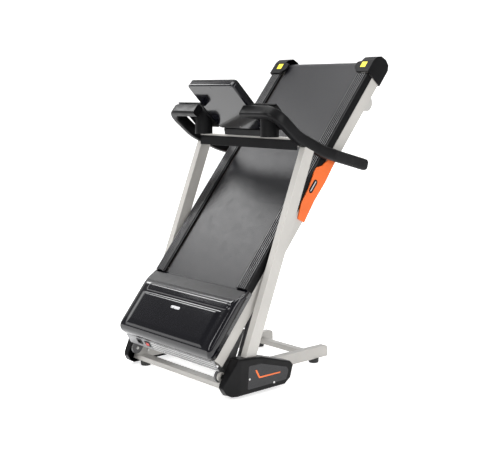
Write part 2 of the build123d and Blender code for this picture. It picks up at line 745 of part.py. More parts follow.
with BuildPart(DECK) as motor_controller:
    with Locations((-160, 108, 38)):
        Box(150, 94, 13.8)
    with GridLocations(16, 0, 8, 1):
        with Locations((-160, 128, 54)):
            Box(3, 44, 20)
    with Locations((-120, 85, 52)):
        Cylinder(14, 30)
save(motor_controller, "motor_controller")

with BuildPart() as switch_bezel:
    with BuildSketch(FRONT_WALL):
        with Locations((SWITCH_X, PANEL_UP)):
            RectangleRounded(34, 26, 3)
            Rectangle(ROCKER[0] + 1, ROCKER[1] + 1, mode=Mode.SUBTRACT)
    extrude(amount=2)
    with BuildSketch(FRONT_WALL):
        with Locations((SWITCH_X, PANEL_UP)):
            Rectangle(29.6, 21.6)
            Rectangle(ROCKER[0] + 1, ROCKER[1] + 1, mode=Mode.SUBTRACT)
    extrude(amount=-20)
save(switch_bezel, "switch_bezel")

with BuildPart() as power_rocker:
    with BuildSketch(Plane(origin=FRONT_WALL.from_local_coords((SWITCH_X - ROCKER[0] / 2, PANEL_UP, 0)),
                           x_dir=FRONT_WALL.y_dir, z_dir=(1, 0, 0))):
        with BuildLine():
            Polyline((-5.5, 4.8), (0, 1.4), (5.5, 2.6), (4.5, -11), (-4.5, -11), close=True)
        make_face()
    extrude(amount=ROCKER[0])
save(power_rocker, "power_rocker")

with BuildPart() as mains_inlet:
    with BuildSketch(FRONT_WALL):
        with Locations((INLET_X, PANEL_UP)):
            RectangleRounded(34, 26, 3)
    extrude(amount=2)
    with BuildSketch(FRONT_WALL):
        with Locations((INLET_X, PANEL_UP)):
            Rectangle(27.6, 21.6)
    extrude(amount=-24)
    with BuildSketch(FRONT_WALL.offset(2)):
        with Locations((INLET_X, PANEL_UP)):
            Rectangle(22, 15)
    extrude(amount=-18, mode=Mode.SUBTRACT)
    with BuildSketch(FRONT_WALL.offset(-17)):
        with Locations((INLET_X - 6, PANEL_UP - 2), (INLET_X, PANEL_UP + 2), (INLET_X + 6, PANEL_UP - 2)):
            Rectangle(2, 4)
    extrude(amount=14)
save(mains_inlet, "mains_inlet")


def tension_bolt(side):
    """Belt adjuster: a bolt entering a rail's rear end along the deck, its head behind the rail."""
    centre = (side * (DECK_HALF - RAIL[0] / 2), ROLLER_N - 10)
    with BuildPart() as bolt:
        with BuildSketch(deck_section(RAIL_U[1])):
            with Locations(centre):
                Circle(4)
        extrude(amount=14)
        with BuildSketch(deck_section(RAIL_U[1])):
            with Locations(centre):
                RegularPolygon(8, 6)
        extrude(amount=-7)
    return bolt


group([tension_bolt(side) for side in SIDES.values()], "tension_bolts")

# ================================================================ gas strut
CYLINDER_R = 12
ROD_R = 5
CYLINDER_LENGTH = 250
top_y = STRUT_TOP[0] * COS - STRUT_TOP[1] * SIN
top_z = PIVOT_Z + STRUT_TOP[0] * SIN + STRUT_TOP[1] * COS
STRUT_LENGTH = math.hypot(top_y - STRUT_LOW[0], top_z - STRUT_LOW[1])
STRUT_DIR = ((top_y - STRUT_LOW[0]) / STRUT_LENGTH, (top_z - STRUT_LOW[1]) / STRUT_LENGTH)


def strut_plane(distance):
    """Plane square to the strut, at a distance above its lower pivot."""
    return Plane(origin=(STRUT_X, PIVOT_Y + STRUT_LOW[0] + distance * STRUT_DIR[0],
                         STRUT_LOW[1] + distance * STRUT_DIR[1]), x_dir=(1, 0, 0),
                 z_dir=(0, STRUT_DIR[0], STRUT_DIR[1]))


EYE_R = 11
with BuildPart() as strut_cylinder:
    with BuildSketch(strut_plane(EYE_R - 2)):
        Circle(CYLINDER_R)
    extrude(amount=CYLINDER_LENGTH)
    with BuildSketch(strut_plane(EYE_R + 8)):
        Circle(CYLINDER_R - 2)
    extrude(amount=CYLINDER_LENGTH - 18, mode=Mode.SUBTRACT)
    with BuildSketch(strut_plane(CYLINDER_LENGTH - 10)):
        Circle(ROD_R + AXLE_FIT)
    extrude(amount=40, mode=Mode.SUBTRACT)
    with BuildSketch(SIDE.offset(STRUT_X - 8)):
        with Locations(STRUT_LOW):
            Circle(EYE_R)
    extrude(amount=16)
    with BuildSketch(SIDE.offset(STRUT_X - 20)):
        with Locations(STRUT_LOW):
            Circle(STRUT_PIN_R + AXLE_FIT)
    extrude(amount=40, mode=Mode.SUBTRACT)
save(strut_cylinder, "strut_cylinder")

ROD_INSIDE = 40
with BuildPart() as strut_rod:
    with BuildSketch(strut_plane(CYLINDER_LENGTH - ROD_INSIDE)):
        Circle(ROD_R)
    extrude(amount=STRUT_LENGTH - CYLINDER_LENGTH + ROD_INSIDE)
    with BuildSketch(DECK_SIDE.offset(STRUT_X - 8)):
        with Locations(STRUT_TOP):
            Circle(EYE_R)
    extrude(amount=18)
    with BuildSketch(DECK_SIDE.offset(STRUT_X - 12)):
        with Locations(STRUT_TOP):
            RegularPolygon(7, 6)
    extrude(amount=4)
save(strut_rod, "strut_rod")

save(bolt_across(SIDE, STRUT_LOW, STRUT_PIN_R, STRUT_X + 19, STRUT_X - 21), "strut_pin")

# ================================================================ handlebar and console frame
BAR_FRONT = (218, 252)
BAR_CORNER = 62
GRIP_START = 553
GRIP_SLOPE = math.atan2(BAR_TOP[2][1] - BAR_TOP[3][1], BAR_TOP[3][0] - BAR_TOP[2][0])
GRIP_LENGTH = 205
CORE = (22, 30)
GRIP = (36, 48)


def bar_centre():
    """Centre line of the handlebar's side view, half a section under its top line."""
    points = []
    for index, (y, z) in enumerate(BAR_TOP):
        before = BAR_TOP[max(index - 1, 0)]
        after = BAR_TOP[min(index + 1, len(BAR_TOP) - 1)]
        slope = math.atan2(after[1] - before[1], after[0] - before[0])
        points.append((y + BAR_SECTION[1] / 2 * math.sin(slope), z - BAR_SECTION[1] / 2 * math.cos(slope)))
    return points


GRIP_ORIGIN = (bar_centre()[2][0], bar_centre()[2][1])


def grip_plane(side, distance):
    """Plane square to a grip's axis; distance is measured from the last bend."""
    low, high = across(side, *UPRIGHT_X)
    y = PIVOT_Y + GRIP_ORIGIN[0] + distance * math.cos(GRIP_SLOPE)
    z = GRIP_ORIGIN[1] - distance * math.sin(GRIP_SLOPE)
    return Plane(origin=((low + high) / 2 + side, y, z), x_dir=(1, 0, 0),
                 z_dir=(0, math.cos(GRIP_SLOPE), -math.sin(GRIP_SLOPE)))


GRIP_FROM = (GRIP_START - GRIP_ORIGIN[0]) / math.cos(GRIP_SLOPE)


def handlebar(side, label):
    """Moulded bar from the console's side round the corner and back over the upright."""
    with BuildPart() as bar:
        with BuildSketch(FLOOR.offset(800)):
            with BuildLine():
                inner = BAR_OUTER - BAR_SECTION[0]
                Polyline((side * 143, BAR_FRONT[0]), (side * BAR_OUTER, BAR_FRONT[0]),
                         (side * BAR_OUTER, 800), (side * inner, 800),
                         (side * inner, BAR_FRONT[1]), (side * 143, BAR_FRONT[1]), close=True)
            outline = make_face()
            fillet(outline.vertices().filter_by(lambda v: abs(abs(v.X) - BAR_OUTER) < 1)
                   .sort_by(Axis.Y)[0], BAR_CORNER)
            fillet(outline.vertices().filter_by(lambda v: abs(abs(v.X) - inner) < 1)
                   .sort_by(Axis.Y)[0], BAR_CORNER - BAR_SECTION[0])
        extrude(amount=400)
        with BuildSketch(SIDE.offset(-400)):
            with BuildLine():
                FilletPolyline(*bar_centre(), radius=BAR_BEND)
            trace(line_width=BAR_SECTION[1])
        extrude(amount=800, mode=Mode.INTERSECT)
        split(bisect_by=grip_plane(side, GRIP_FROM), keep=Keep.BOTTOM)
        with BuildSketch(grip_plane(side, GRIP_FROM)):
            RectangleRounded(*CORE, 6)
        extrude(amount=GRIP_LENGTH - 8)
    save(bar, label)


def grip(side, label):
    """Foam sleeve with a closed rounded end."""
    with BuildPart() as sleeve:
        with BuildSketch(grip_plane(side, GRIP_FROM)):
            RectangleRounded(*GRIP, 14)
        extrude(amount=GRIP_LENGTH)
        fillet(sleeve.faces().sort_by(Axis.Y)[-1].edges(), 9)
        with BuildSketch(grip_plane(side, GRIP_FROM)):
            RectangleRounded(*CORE, 6)
        extrude(amount=GRIP_LENGTH - 8, mode=Mode.SUBTRACT)
    save(sleeve, label)


HEAD_BAR = ((376, 406), (930, 966))
tube_across(SIDE, *HEAD_BAR, BAR_OUTER - BAR_SECTION[0], "head_crossbar")
box_in(SIDE, (HEAD_BAR[0][0] - 4, HEAD_BAR[0][0]), (918, 957), (-300, 300), "crossbar_cover")

for name, side in SIDES.items():
    handlebar(side, f"handlebar_{name}")
    grip(side, f"grip_{name}")

# ================================================================ console
FACE_Z = 22                 # joint between back shell and face, above the back
CORNER_R = 16
DISPLAY = (190, 78)
DISPLAY_Y = -66
BUTTONS = {"button_stop": -90, "button_slower": -30, "button_faster": 30, "button_start": 90}
BUTTON = (34, 18)
BUTTON_Y = -150
BUTTON_GAP = 0.4
KEY_Y = -212
KEY_R = 14
MIDDLE_Y = -CONSOLE_LENGTH / 2

with BuildPart() as console_back:
    with BuildSketch(CONSOLE):
        with Locations((0, MIDDLE_Y)):
            RectangleRounded(2 * CONSOLE_HALF, CONSOLE_LENGTH, CORNER_R)
    extrude(amount=FACE_Z)
    chamfer(console_back.faces().sort_by(Axis((0, 0, 0), CONSOLE.z_dir))[0].edges(), 4)
    with BuildSketch(CONSOLE.offset(SHELL)):
        with Locations((0, MIDDLE_Y)):
            RectangleRounded(2 * CONSOLE_HALF - 4 * SHELL, CONSOLE_LENGTH - 4 * SHELL, CORNER_R - SHELL)
    extrude(amount=CONSOLE_DEPTH, mode=Mode.SUBTRACT)
save(console_back, "console_back")

with BuildPart() as console_face:
    with BuildSketch(CONSOLE.offset(FACE_Z)):
        with Locations((0, MIDDLE_Y)):
            RectangleRounded(2 * CONSOLE_HALF, CONSOLE_LENGTH, CORNER_R)
    extrude(amount=CONSOLE_DEPTH - FACE_Z)
    chamfer(console_face.faces().sort_by(Axis((0, 0, 0), CONSOLE.z_dir))[-1].edges(), 3)
    with BuildSketch(CONSOLE.offset(FACE_Z)):
        with Locations((0, MIDDLE_Y)):
            RectangleRounded(2 * CONSOLE_HALF - 4 * SHELL, CONSOLE_LENGTH - 4 * SHELL, CORNER_R - SHELL)
    extrude(amount=CONSOLE_DEPTH - FACE_Z - 3, mode=Mode.SUBTRACT)
    with BuildSketch(CONSOLE.offset(FACE_Z)):
        with Locations((0, DISPLAY_Y)):
            RectangleRounded(DISPLAY[0], DISPLAY[1], 5)
        with Locations([(x, BUTTON_Y) for x in BUTTONS.values()]):
            RectangleRounded(BUTTON[0] + 2 * BUTTON_GAP, BUTTON[1] + 2 * BUTTON_GAP, 4 + BUTTON_GAP)
    extrude(amount=CONSOLE_DEPTH, mode=Mode.SUBTRACT)
    with BuildSketch(CONSOLE.offset(CONSOLE_DEPTH - 2)):
        with Locations((0, KEY_Y)):
            Circle(KEY_R + 0.5)
    extrude(amount=5, mode=Mode.SUBTRACT)
save(console_face, "console_face")

with BuildPart() as display_lens:
    with BuildSketch(CONSOLE.offset(CONSOLE_DEPTH - 2.5)):
        with Locations((0, DISPLAY_Y)):
            RectangleRounded(DISPLAY[0] - 0.4, DISPLAY[1] - 0.4, 5)
    extrude(amount=2)
save(display_lens, "display_lens")

with BuildPart(CONSOLE) as display_board:
    with Locations((0, MIDDLE_Y, 12)):
        Box(240, 200, 1.6)
    with Locations((0, DISPLAY_Y, 20)):
        Box(170, 60, 14.4)
    with GridLocations(220, 180, 2, 2):
        with Locations((0, MIDDLE_Y, 6.9)):
            Cylinder(4, 8.6)
save(display_board, "display_board")

for label, x in BUTTONS.items():
    with BuildPart() as button:
        with BuildSketch(CONSOLE.offset(CONSOLE_DEPTH - 7)):
            with Locations((x, BUTTON_Y)):
                RectangleRounded(BUTTON[0], BUTTON[1], 4)
        extrude(amount=9)
    save(button, label)

with BuildPart() as safety_key:
    with BuildSketch(CONSOLE.offset(CONSOLE_DEPTH - 1.9)):
        with Locations((0, KEY_Y)):
            Circle(KEY_R)
    extrude(amount=8)
    with BuildSketch(CONSOLE.offset(CONSOLE_DEPTH + 6)):
        with Locations((0, KEY_Y)):
            RectangleRounded(20, 6, 2)
    extrude(amount=8)
save(safety_key, "safety_key")


def console_screw(x, y):
    """Countersunk screw driven into the back shell."""
    with BuildPart() as screw:
        with BuildSketch(CONSOLE.offset(-0.6)):
            with Locations((x, y)):
                Circle(3.4)
                RegularPolygon(1.3, 6, mode=Mode.SUBTRACT)
        extrude(amount=0.6)
    return screw


SCREW_SPOTS = [(x, y) for x in (-120, 0, 120) for y in (-14, -236)] + [(-120, -125), (120, -125)]
group([console_screw(*spot) for spot in SCREW_SPOTS], "console_screws")

with BuildPart() as console_support:
    with BuildSketch(SIDE.offset(-118)):
        with BuildLine():
            heel = (CONSOLE_TOP[0] + CONSOLE_LENGTH * math.sin(TILT),
                    CONSOLE_TOP[1] - CONSOLE_LENGTH * math.cos(TILT))
            Polyline((heel[0] + 0.5, heel[1] - 0.5), (heel[0] + 6, HEAD_BAR[1][1]),
                     (HEAD_BAR[0][1], HEAD_BAR[1][1]), (heel[0] + 24, heel[1] + 23), close=True)
        make_face()
    extrude(amount=236)
save(console_support, "console_support")

DASH_X = (155, 302.6)
DASH_Z = (6, 11)
DASH_Y = (-250, -108)
CUP_X = 205
CUP_Y = 315
CUP_R = 37
CUP_FLOOR = 968


def dash_panel(side):
    """Sloping panel between the console and an arm, cut for the cup holder."""
    low, high = across(-side, *DASH_X)
    with BuildPart() as panel:
        with BuildSketch(CONSOLE.offset(DASH_Z[0])):
            with Locations(((low + high) / 2, sum(DASH_Y) / 2)):
                Rectangle(high - low, DASH_Y[1] - DASH_Y[0])
        extrude(amount=DASH_Z[1] - DASH_Z[0])
        with BuildSketch(FLOOR.offset(CUP_FLOOR)):
            with Locations((side * CUP_X, CUP_Y)):
                Circle(CUP_R)
        extrude(amount=300, mode=Mode.SUBTRACT)
    return panel


def cup_holder(side):
    """Round cup let into the panel, its rim cut to the panel's slope."""
    with BuildPart() as cup:
        with BuildSketch(FLOOR.offset(CUP_FLOOR)):
            with Locations((side * CUP_X, CUP_Y)):
                Circle(CUP_R)
        extrude(amount=200)
        with BuildSketch(FLOOR.offset(CUP_FLOOR + SHELL)):
            with Locations((side * CUP_X, CUP_Y)):
                Circle(CUP_R - SHELL)
        extrude(amount=200, mode=Mode.SUBTRACT)
        split(bisect_by=CONSOLE.offset(DASH_Z[1] + 2), keep=Keep.BOTTOM)
    return cup


group([dash_panel(side) for side in SIDES.values()], "dash_panels")
group([cup_holder(side) for side in SIDES.values()], "cup_holders")
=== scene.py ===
"""Looks of the folding treadmill: finishes, detailed mouldings, studio and camera."""
import bpy
import bmesh
import json
import math
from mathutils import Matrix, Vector


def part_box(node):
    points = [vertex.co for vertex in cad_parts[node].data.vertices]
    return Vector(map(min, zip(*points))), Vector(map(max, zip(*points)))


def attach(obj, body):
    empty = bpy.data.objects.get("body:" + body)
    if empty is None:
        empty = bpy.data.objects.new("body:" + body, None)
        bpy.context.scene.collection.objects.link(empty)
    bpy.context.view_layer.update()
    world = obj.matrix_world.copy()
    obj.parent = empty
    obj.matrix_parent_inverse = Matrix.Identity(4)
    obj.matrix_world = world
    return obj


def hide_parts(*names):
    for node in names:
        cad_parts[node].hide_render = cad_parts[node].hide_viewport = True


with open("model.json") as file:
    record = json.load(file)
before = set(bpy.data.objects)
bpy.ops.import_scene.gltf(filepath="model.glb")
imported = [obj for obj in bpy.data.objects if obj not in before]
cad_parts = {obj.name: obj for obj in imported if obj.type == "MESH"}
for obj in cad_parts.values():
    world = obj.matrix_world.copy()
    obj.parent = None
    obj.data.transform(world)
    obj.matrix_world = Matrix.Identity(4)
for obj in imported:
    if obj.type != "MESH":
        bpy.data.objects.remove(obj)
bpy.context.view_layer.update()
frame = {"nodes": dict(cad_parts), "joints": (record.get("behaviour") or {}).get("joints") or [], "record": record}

# ---------------------------------------------------------------- frame: axes and driving sizes
MM = 0.001
FOLD = math.radians(50.9)
COS, SIN = math.cos(FOLD), math.sin(FOLD)
LEFT, RIGHT = 1, -1
SIDES = {"left": LEFT, "right": RIGHT}
PIVOT = Vector(next(j for j in frame["joints"] if j["name"] == "deck_fold")["pos_m"])
SLOT = {part["node"]: part["material_slot"] for part in frame["record"]["subparts"]}
RAIL_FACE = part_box("deck_rail_left")[1].x / MM
COVER_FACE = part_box("side_cover_left")[1].x / MM


def deck(x, u, n):
    """Point on the folded deck, in mm: across, along from the fold pivot, above it square to the belt."""
    return PIVOT + MM * Vector((x, u * COS - n * SIN, u * SIN + n * COS))


def deck_side(which):
    """Places (x, u, level) on one side of the deck, with x counted outwards."""
    return lambda x, u, level: deck(which * x, u, level)


def side(x, d, z):
    """Point in mm: across, behind the fold pivot, above the floor."""
    return Vector((x * MM, PIVOT.y + d * MM, z * MM))


# ---------------------------------------------------------------- materials
MOTTLE_SIZE = 0.09          # metres across one patch of colour
GLOSS_SIZE = 0.035          # one patch of duller or brighter gloss
SCUFF_SIZE = 0.012          # one scuff along a rubbed edge
COAT_ROUGHNESS = 0.04
EDGE_RADIUS = 0.0022        # how far wear reaches from an edge
EDGE_SAMPLES = 4
EDGE_BEND = (0.86, 0.985)   # cosine between the rounded and the true normal: fully rubbed, untouched
SCUFF_COVER = 0.75
SCUFF_BAND = (0.42, 0.62)
NOISE_BAND = (0.35, 0.65)
DIAMOND_ANGLE = 32
BARE = (0.36, 0.35, 0.33)
WORN_BLACK = (0.022, 0.022, 0.023)


def finish(name, base, roughness, metallic=0.0, grain=0.0006, bump=0.15, mottle=0.06, spread=0.06,
           wear=None, stretch=(1, 1, 1), coat=0.0, specular=0.5, pattern="noise", depth=0.0003):
    """Procedural finish: mottled colour, grained bump, uneven gloss and, given a wear colour, rubbed edges."""
    material = bpy.data.materials.new(name)
    material.use_nodes = True
    nodes, links = material.node_tree.nodes, material.node_tree.links
    shader = nodes["Principled BSDF"]
    shader.inputs["Metallic"].default_value = metallic
    shader.inputs["Coat Weight"].default_value = coat
    shader.inputs["Coat Roughness"].default_value = COAT_ROUGHNESS
    shader.inputs["Specular IOR Level"].default_value = specular
    place = nodes.new("ShaderNodeTexCoord")
    scale = nodes.new("ShaderNodeMapping")
    scale.inputs["Scale"].default_value = stretch
    links.new(place.outputs["Object"], scale.inputs["Vector"])

    def noise(size, detail=3.0):
        node = nodes.new("ShaderNodeTexNoise")
        node.inputs["Scale"].default_value = 1 / size
        node.inputs["Detail"].default_value = detail
        links.new(scale.outputs["Vector"], node.inputs["Vector"])
        return node.outputs["Fac"]

    def ramp(source, low, high, band=NOISE_BAND):
        node = nodes.new("ShaderNodeMapRange")
        node.inputs["From Min"].default_value = band[0]
        node.inputs["From Max"].default_value = band[1]
        node.inputs["To Min"].default_value = low
        node.inputs["To Max"].default_value = high
        links.new(source, node.inputs["Value"])
        return node.outputs["Result"]

    def blend(factor, first, second):
        node = nodes.new("ShaderNodeMix")
        node.data_type = "RGBA"
        links.new(factor, node.inputs["Factor"])
        for socket, value in (("A", first), ("B", second)):
            target = [s for s in node.inputs if s.name == socket and s.type == "RGBA"][0]
            if isinstance(value, tuple):
                target.default_value = (*value, 1)
            else:
                links.new(value, target)
        return [s for s in node.outputs if s.type == "RGBA"][0]

    dark = tuple(c * (1 - mottle) for c in base)
    light = tuple(min(c * (1 + mottle), 1) for c in base)
    colour = blend(ramp(noise(MOTTLE_SIZE), 0, 1), dark, light)
    rough = ramp(noise(GLOSS_SIZE, 5), max(roughness - spread, 0.02), min(roughness + spread, 1))
    if wear:
        edge = nodes.new("ShaderNodeBevel")
        edge.samples = EDGE_SAMPLES
        edge.inputs["Radius"].default_value = EDGE_RADIUS
        shape = nodes.new("ShaderNodeNewGeometry")
        match = nodes.new("ShaderNodeVectorMath")
        match.operation = "DOT_PRODUCT"
        links.new(edge.outputs["Normal"], match.inputs[0])
        links.new(shape.outputs["Normal"], match.inputs[1])
        rubbed = nodes.new("ShaderNodeMath")
        rubbed.operation = "MULTIPLY"
        links.new(ramp(match.outputs["Value"], 1, 0, EDGE_BEND), rubbed.inputs[0])
        links.new(ramp(noise(SCUFF_SIZE, 6), 0, SCUFF_COVER, SCUFF_BAND), rubbed.inputs[1])
        colour = blend(rubbed.outputs["Value"], colour, wear)
    links.new(colour, shader.inputs["Base Color"])
    links.new(rough, shader.inputs["Roughness"])

    raised = nodes.new("ShaderNodeBump")
    raised.inputs["Strength"].default_value = bump
    raised.inputs["Distance"].default_value = depth
    if pattern == "noise":
        height = noise(grain, 2)
    elif pattern == "cells":
        cells = nodes.new("ShaderNodeTexVoronoi")
        cells.inputs["Scale"].default_value = 1 / grain
        links.new(scale.outputs["Vector"], cells.inputs["Vector"])
        height = cells.outputs["Distance"]
    else:
        height = diamonds(nodes, links, place.outputs["Object"], grain)
    links.new(height, raised.inputs["Height"])
    links.new(raised.outputs["Normal"], shader.inputs["Normal"])
    return material


def diamonds(nodes, links, source, pitch):
    """Crossed diagonal ridges in the running surface's own plane."""
    turn = nodes.new("ShaderNodeMapping")
    turn.inputs["Rotation"].default_value = (-FOLD, 0, 0)
    links.new(source, turn.inputs["Vector"])
    waves = []
    for angle in (DIAMOND_ANGLE, -DIAMOND_ANGLE):
        tilt = nodes.new("ShaderNodeMapping")
        tilt.inputs["Rotation"].default_value = (0, 0, math.radians(angle))
        links.new(turn.outputs["Vector"], tilt.inputs["Vector"])
        wave = nodes.new("ShaderNodeTexWave")
        wave.inputs["Scale"].default_value = 1 / pitch
        links.new(tilt.outputs["Vector"], wave.inputs["Vector"])
        waves.append(wave.outputs["Fac"])
    higher = nodes.new("ShaderNodeMath")
    higher.operation = "MAXIMUM"
    links.new(waves[0], higher.inputs[0])
    links.new(waves[1], higher.inputs[1])
    return higher.outputs["Value"]


FINISHES = {
    "frame_paint": finish("frame_paint", (0.47, 0.455, 0.43), 0.38, grain=0.0011, bump=0.15, mottle=0.03,
                          wear=(0.60, 0.59, 0.56)),
    "dark_steel": finish("dark_steel", (0.10, 0.10, 0.102), 0.38, 0.3, grain=0.0009, wear=BARE),
    "zinc_steel": finish("zinc_steel", (0.60, 0.60, 0.59), 0.28, 1.0, grain=0.0005, mottle=0.12, spread=0.12),
    "roller_steel": finish("roller_steel", (0.52, 0.52, 0.52), 0.25, 1.0, grain=0.0004, stretch=(40, 1, 1)),
    "black_plastic": finish("black_plastic", (0.0045, 0.0045, 0.005), 0.38, grain=0.0007, bump=0.16,
                            wear=WORN_BLACK, mottle=0.18, specular=0.14),
    "gloss_black": finish("gloss_black", (0.0025, 0.0025, 0.0045), 0.12, grain=0.02, bump=0.004, coat=0.3,
                          specular=0.3, mottle=0.05, spread=0.008),
    "rail_plastic": finish("rail_plastic", (0.004, 0.004, 0.0045), 0.36, grain=0.0012, bump=0.05, mottle=0.1,
                           spread=0.02, specular=0.15),
    "belt": finish("belt", (0.010, 0.010, 0.012), 0.36, grain=0.010, bump=0.30, pattern="diamonds",
                   depth=0.0004, mottle=0.03, spread=0.02, specular=0.32),
    "foot_rubber": finish("foot_rubber", (0.018, 0.018, 0.018), 0.70, grain=0.0009, bump=0.4,
                          wear=(0.05, 0.05, 0.05)),
    "foam": finish("foam", (0.006, 0.006, 0.0065), 0.78, specular=0.25, grain=0.0016, bump=0.55,
                   pattern="cells", mottle=0.15),
    "board": finish("board", (0.020, 0.017, 0.015), 0.62, grain=0.002, bump=0.4, stretch=(1, 8, 8),
                    mottle=0.25),
    "motor_paint": finish("motor_paint", (0.03, 0.03, 0.033), 0.36, 0.2, wear=BARE),
    "lens": finish("lens", (0.010, 0.011, 0.016), 0.07, grain=0.004, bump=0.01, coat=1.0, spread=0.03),
    "circuit": finish("circuit", (0.02, 0.13, 0.05), 0.42, grain=0.003, bump=0.5, mottle=0.3),
    "button_grey": finish("button_grey", (0.19, 0.19, 0.20), 0.48, grain=0.0006, wear=(0.32, 0.32, 0.33)),
    "accent_red": finish("accent_red", (0.55, 0.018, 0.014), 0.28, grain=0.0012, coat=0.2,
                         wear=(0.68, 0.10, 0.08)),
    "accent_orange": finish("accent_orange", (0.80, 0.135, 0.010), 0.36, grain=0.0012, bump=0.1,
                            wear=(0.92, 0.30, 0.10)),
    "drive_rubber": finish("drive_rubber", (0.022, 0.022, 0.022), 0.62, stretch=(20, 1, 1)),
    "pan_metal": finish("pan_metal", (0.20, 0.20, 0.205), 0.36, 0.7, grain=0.0006, stretch=(1, 20, 20),
                        mottle=0.12, wear=(0.5, 0.5, 0.5)),
    # Lighter grey for thin strips on the foot rails' ridges: a painted highlight in place of the light that the
    # glossy ridges reflect.
    "painted_highlight": finish("painted_highlight", (0.17, 0.17, 0.175), 0.34, 0.2, grain=0.002, bump=0.05),
    "yellow_label": finish("yellow_label", (0.86, 0.72, 0.02), 0.40, grain=0.0015, bump=0.08),
    "silver_print": finish("silver_print", (0.62, 0.62, 0.64), 0.30, 0.8, grain=0.001, bump=0.06),
    "matte_band": finish("matte_band", (0.008, 0.008, 0.009), 0.34, grain=0.0012, bump=0.45, wear=WORN_BLACK),
    "grey_plastic": finish("grey_plastic", (0.46, 0.45, 0.43), 0.46, grain=0.0009, bump=0.25,
                           wear=(0.56, 0.55, 0.52)),
}


def paint(piece, name):
    """Give a piece one finish."""
    piece.data.materials.clear()
    piece.data.materials.append(FINISHES[name])


# ---------------------------------------------------------------- mesh helpers
WELD_NEW = 1e-6             # metres between points that are joined in a new piece
WELD_CAD = 1e-5             # the same in a CAD node's tessellation
FLAT_ANGLE = 2              # faces closer than this, in degrees, become one before rounding
EDGE_ANGLE = 30             # edges sharper than this, in degrees, are rounded


def mesh_piece(name, points, faces, body, look, slot=None, stands_for=(), bevel=0.0, segments=3, smooth=35):
    """A new mesh piece: welded points, optional rounded edges, a finish, and the body it rides on."""
    mesh = bpy.data.meshes.new(name)
    mesh.from_pydata([tuple(p) for p in points], [], faces)
    work = bmesh.new()
    work.from_mesh(mesh)
    bmesh.ops.remove_doubles(work, verts=work.verts, dist=WELD_NEW)
    bmesh.ops.recalc_face_normals(work, faces=work.faces)
    work.to_mesh(mesh)
    work.free()
    mesh.shade_smooth()
    mesh.set_sharp_from_angle(angle=math.radians(smooth))
    piece = bpy.data.objects.new(name, mesh)
    bpy.context.scene.collection.objects.link(piece)
    if bevel:
        round_edges(piece, bevel, segments)
    paint(piece, look)
    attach(piece, body)
    if stands_for:
        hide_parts(*stands_for)
    return piece


def round_edges(piece, width, segments):
    """Round a piece's sharp edges by width in mm."""
    bevel = piece.modifiers.new("round", "BEVEL")
    bevel.width = width * MM
    bevel.segments = segments
    bevel.limit_method = "ANGLE"
    bevel.angle_limit = math.radians(EDGE_ANGLE)
    bevel.use_clamp_overlap = True
    piece.modifiers.new("shade", "WEIGHTED_NORMAL").keep_sharp = False


def soften(node, width, segments):
    """Round the edges of a CAD node as it is shown, by modifiers only."""
    piece = frame["nodes"][node]
    weld = piece.modifiers.new("weld", "WELD")
    weld.merge_threshold = WELD_CAD
    flat = piece.modifiers.new("flat", "DECIMATE")
    flat.decimate_type = "DISSOLVE"
    flat.angle_limit = math.radians(FLAT_ANGLE)
    round_edges(piece, width, segments)


def rounded(points, steps=6):
    """Closed outline from (x, y, radius) corners, each corner an arc."""
    outline = []
    for index, (x, y, radius) in enumerate(points):
        corner = Vector((x, y))
        before = Vector(points[index - 1][:2]) - corner
        after = Vector(points[(index + 1) % len(points)][:2]) - corner
        half = before.angle(after) / 2
        reach = radius / math.tan(half)
        centre = corner + (before.normalized() + after.normalized()).normalized() * radius / math.sin(half)
        start = corner + before.normalized() * reach - centre
        end = corner + after.normalized() * reach - centre
        turn = start.angle_signed(end)
        for step in range(steps + 1):
            angle = -turn * step / steps
            outline.append((centre.x + start.x * math.cos(angle) - start.y * math.sin(angle),
                            centre.y + start.x * math.sin(angle) + start.y * math.cos(angle)))
    return outline


def capsule(x, y, length, width, steps=10):
    """Outline of a bar with round ends, centred at (x, y)."""
    outline = []
    for end, first in ((1, -90), (-1, 90)):
        for step in range(steps + 1):
            turn = math.radians(first + 180 * step / steps)
            outline.append((x + (end * (length - width) / 2 + width / 2 * math.cos(turn)),
                            y + width / 2 * math.sin(turn)))
    return outline


def circle(x, y, radius, steps=32):
    """Outline of a round piece."""
    return [(x + radius * math.cos(math.tau * step / steps), y + radius * math.sin(math.tau * step / steps))
            for step in range(steps)]


def plate(name, outline, levels, place, body, look, **extra):
    """A flat piece: an outline carried between two levels, where place(a, b, level) gives its points."""
    count = len(outline)
    points = [place(a, b, level) for level in levels for a, b in outline]
    faces = [tuple(range(count))[::-1], tuple(range(count, 2 * count))]
    faces += [(i, (i + 1) % count, count + (i + 1) % count, count + i) for i in range(count)]
    return mesh_piece(name, points, faces, body, look, **extra)


def skin(name, rings, body, look, closed=True, capped=True, **extra):
    """Surface through rings that have the same number of points."""
    count = len(rings[0])
    points = [p for ring in rings for p in ring]
    faces = []
    for row in range(len(rings) - 1):
        for i in range(count if closed else count - 1):
            j = (i + 1) % count
            faces.append((row * count + i, row * count + j, (row + 1) * count + j, (row + 1) * count + i))
    if capped:
        faces += [tuple(range(count))[::-1], tuple(range(len(points) - count, len(points)))]
    return mesh_piece(name, points, faces, body, look, **extra)


def smoothstep(low, high, value):
    """0 below low, 1 above high, smooth between."""
    share = min(max((value - low) / (high - low), 0), 1)
    return share * share * (3 - 2 * share)


def soft_min(a, b, width):
    """Lesser of two heights, their crossing rounded over width."""
    share = min(max(0.5 + (b - a) / (2 * width), 0), 1)
    return b + (a - b) * share - width * share * (1 - share)


def spread(low, high, count):
    """Even stations from low to high."""
    return [low + (high - low) * step / (count - 1) for step in range(count)]


